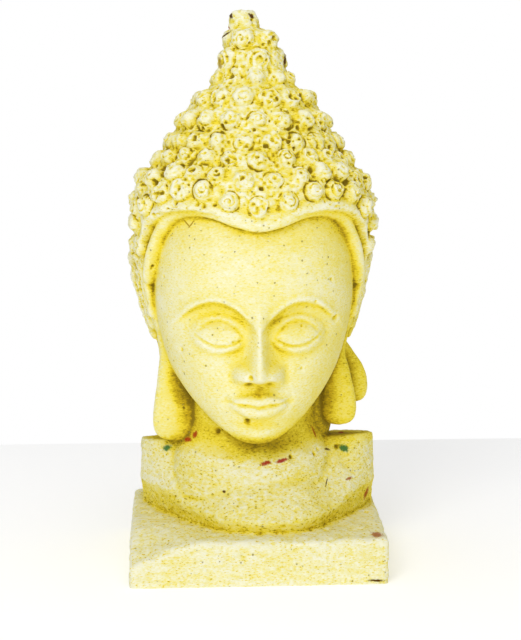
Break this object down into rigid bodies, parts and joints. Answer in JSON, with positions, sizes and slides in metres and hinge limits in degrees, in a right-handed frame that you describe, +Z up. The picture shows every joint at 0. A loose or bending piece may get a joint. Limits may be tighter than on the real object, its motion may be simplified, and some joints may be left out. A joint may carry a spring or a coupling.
{
  "type": "buddha head sculpture",
  "caption": "Cast head with curled hair, broken finial and long pierced ear lobes, on a cut bust and a square plinth.",
  "frame": {"origin": "middle of the flat underside, under the middle of the casting's box", "axes": "+Z up to the broken finial, -Y the way the face looks, +X to the right of the picture"},
  "size_m": [0.0946, 0.0856, 0.1989],
  "materials": {
    "cast_plaster": "matte"
  },
  "bodies": {
    "root": {"buddha_head": "cast_plaster"}
  },
  "joints": []
}
